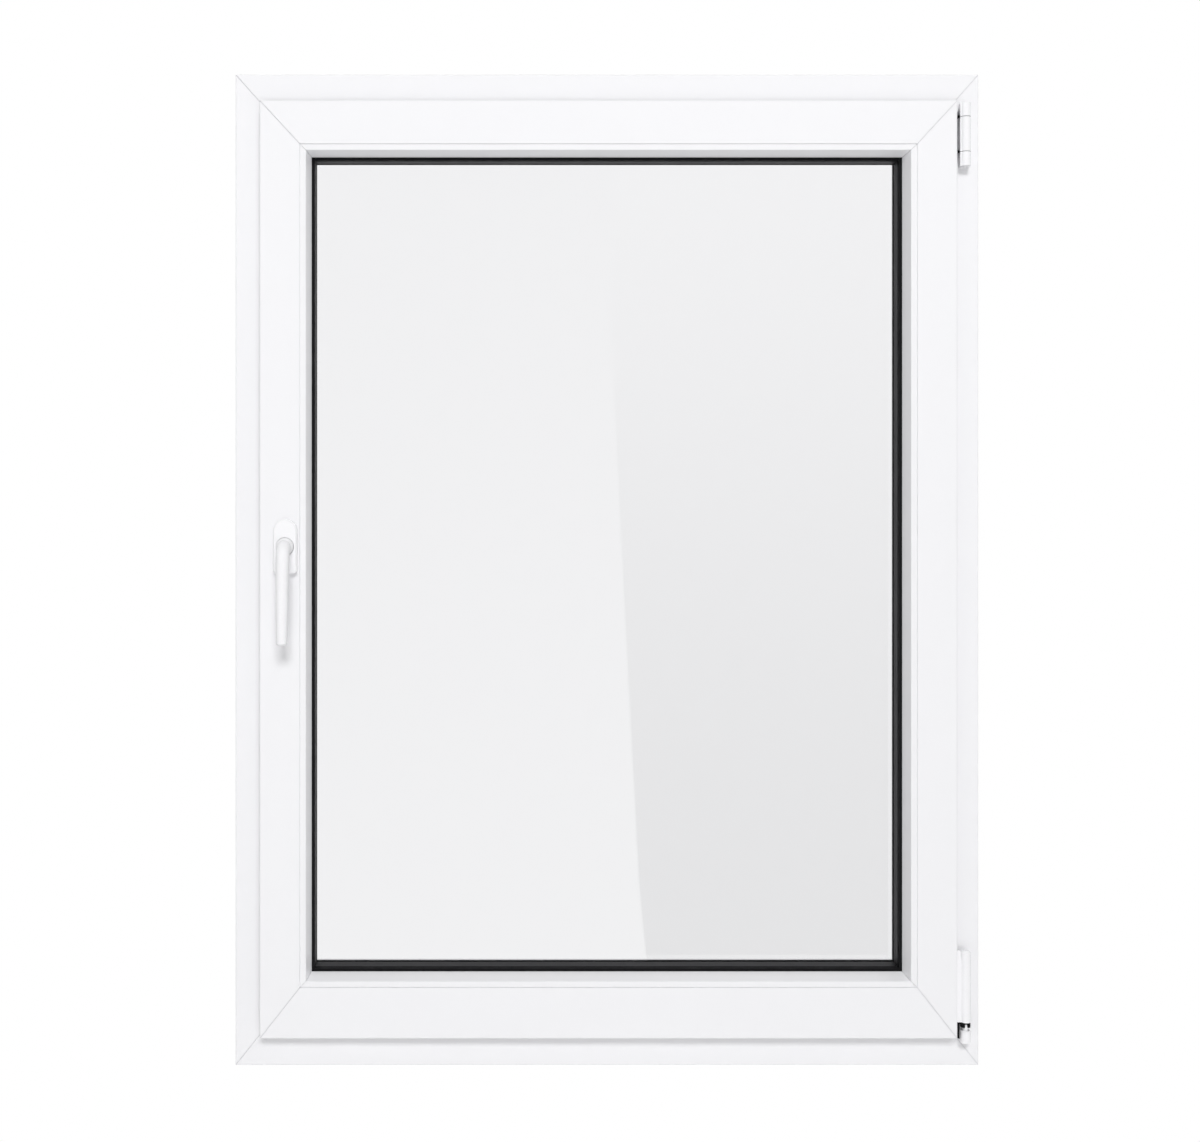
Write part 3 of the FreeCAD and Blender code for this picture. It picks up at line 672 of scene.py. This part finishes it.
def build_faceplate_screws(steel):
    """Screws in the faceplates and in the corner hinge's flange, with their heads outward."""
    rows = [(side, 0.0, along) for side, places in plate_screws.items() for along in places]
    rows += [("right", flange_thickness, along) for along in flange_screws]
    rings = screw_rings(plate_screw_radius, plate_screw_height)
    outward = Matrix.Rotation(math.pi, 4, "X")
    bm = bmesh.new()
    for side, raised, along in rows:
        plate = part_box(f"{side}_faceplate")
        depth = side_depths(plate)[side] - raised
        lathe(bm, rings, facing(side, depth, middle_depth(plate), along) @ outward)
    piece_from(bm, "faceplate_screws", steel, "sash")


def build_rivet(steel):
    """The rivet head over the stay arm's guide pin."""
    line = middle_depth(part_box("top_faceplate"))
    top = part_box("stay_arm")[1][2] - stay_leaf_rise
    rings = dome(rivet_radius, rivet_height, rivet_dome)
    bm = bmesh.new()
    lathe(bm, rings, Matrix.Translation((guide_x, line, top)))
    piece_from(bm, "stay_rivet", steel, "stay")


def prism(bm, outline, low, high):
    """Adds an upright prism between two heights to bm."""
    bottom = [bm.verts.new((x, y, low)) for x, y in outline]
    top = [bm.verts.new((x, y, high)) for x, y in outline]
    count = len(outline)
    for i in range(count):
        j = (i + 1) % count
        bm.faces.new((bottom[i], bottom[j], top[j], top[i]))
    bm.faces.new(bottom[::-1])
    bm.faces.new(top)


def arc(radius, start, stop, steps):
    """Points on an arc around the hinge axis, by angles in degrees from +X."""
    points = []
    for i in range(steps + 1):
        turn = math.radians(start + (stop - start) * i / steps)
        points.append((hinge_x + radius * math.cos(turn), hinge_y + radius * math.sin(turn)))
    return points


def beside_hinge(inner, outer, front, back):
    """Corners of a block on the sash's side of the hinge axis, by distances from the axis."""
    left = hinge_x - outer
    right = hinge_x - inner
    return [
        (left, hinge_y - front),
        (right, hinge_y - front),
        (right, hinge_y + back),
        (left, hinge_y + back),
    ]


def build_washers(rubber):
    """The dark washers in the top hinge's joints, and black blocks on the arm beside them that
    paint the shade in the gap by the sash's edge.
    """
    around = arc(washer_radius, 0, 360 - 360 / washer_points, washer_points - 1)
    shade_block = beside_hinge(gap_shade_inner, gap_shade_outer, gap_shade_front, gap_shade_back)
    washers = bmesh.new()
    shade_dots = bmesh.new()
    for middle in knuckle_gaps:
        prism(washers, around, middle - washer_thickness / 2, middle + washer_thickness / 2)
        prism(shade_dots, shade_block, middle - gap_shade_height / 2, middle + gap_shade_height / 2)
    piece_from(washers, "hinge_washers", rubber, "frame")
    # Painted shade: black dots in the gap between the sash's edge and the top hinge
    piece_from(shade_dots, "stay_gap_shade", rubber, "stay")


def closed_band(start, stop, steps):
    """Outline of the sleeve's wall between two angles in degrees: out along it and back."""
    outside = arc(boot_outer_radius, start, stop, steps)
    inside = arc(boot_inner_radius, stop, start, steps)
    return outside + inside


def build_boot(rubber):
    """The dark sleeve on the bottom hinge's pin, open in front, and a black bridge and tongue
    beside the cup that paint the shade in the gap between the sash and the cup.
    """
    front = -90
    round_again = front + 360
    sleeve = closed_band(front + boot_slot_angle, round_again - boot_slot_angle, boot_sleeve_steps)
    ring = closed_band(front, round_again, boot_ring_steps)
    shade_bridge = beside_hinge(boot_outer_radius, gap_shade_outer, gap_shade_front, 0.0)
    shade_tongue = beside_hinge(gap_shade_inner, gap_shade_outer, gap_shade_front, 0.0)
    bm = bmesh.new()
    prism(bm, sleeve, boot_bottom, boot_ring_bottom)
    prism(bm, ring, boot_ring_bottom, boot_top)
    # Painted shade: the bridge and the tongue fill the shaded gap between the sash's edge and the
    # cup
    prism(bm, shade_bridge, boot_ring_bottom, boot_top)
    prism(bm, shade_tongue, shade_tongue_bottom, boot_ring_bottom)
    piece_from(bm, "pivot_boot", rubber, "sash")


def build_camera():
    """The photograph's view: square to the window, with a small lens shift."""
    data = bpy.data.cameras.new("camera")
    data.sensor_width = sensor_width
    data.lens = sensor_width * camera_distance / (image_width * metres_per_pixel)
    left = cad_box[0][0]
    top = cad_box[1][2]
    left_from_axis = image_width / 2 + (left - camera_x) / metres_per_pixel
    top_from_axis = image_height / 2 - (top - camera_z) / metres_per_pixel
    data.shift_x = (left_from_axis - frame_left_pixel) / image_width
    data.shift_y = (frame_top_pixel - top_from_axis) / image_width
    camera = scene_object("camera", data)
    camera.location = (camera_x, frame_face_y - camera_distance, camera_z)
    camera.rotation_euler = (math.pi / 2, 0, 0)
    bpy.context.scene.camera = camera


steel, rubber = finish_nodes()
build_keep_screws(steel)
build_faceplate_screws(steel)
build_rivet(steel)
build_washers(rubber)
build_boot(rubber)
build_world()
build_lights()
build_floor()
build_room_wall()
build_camera()
bpy.context.scene.view_settings.view_transform = "Standard"
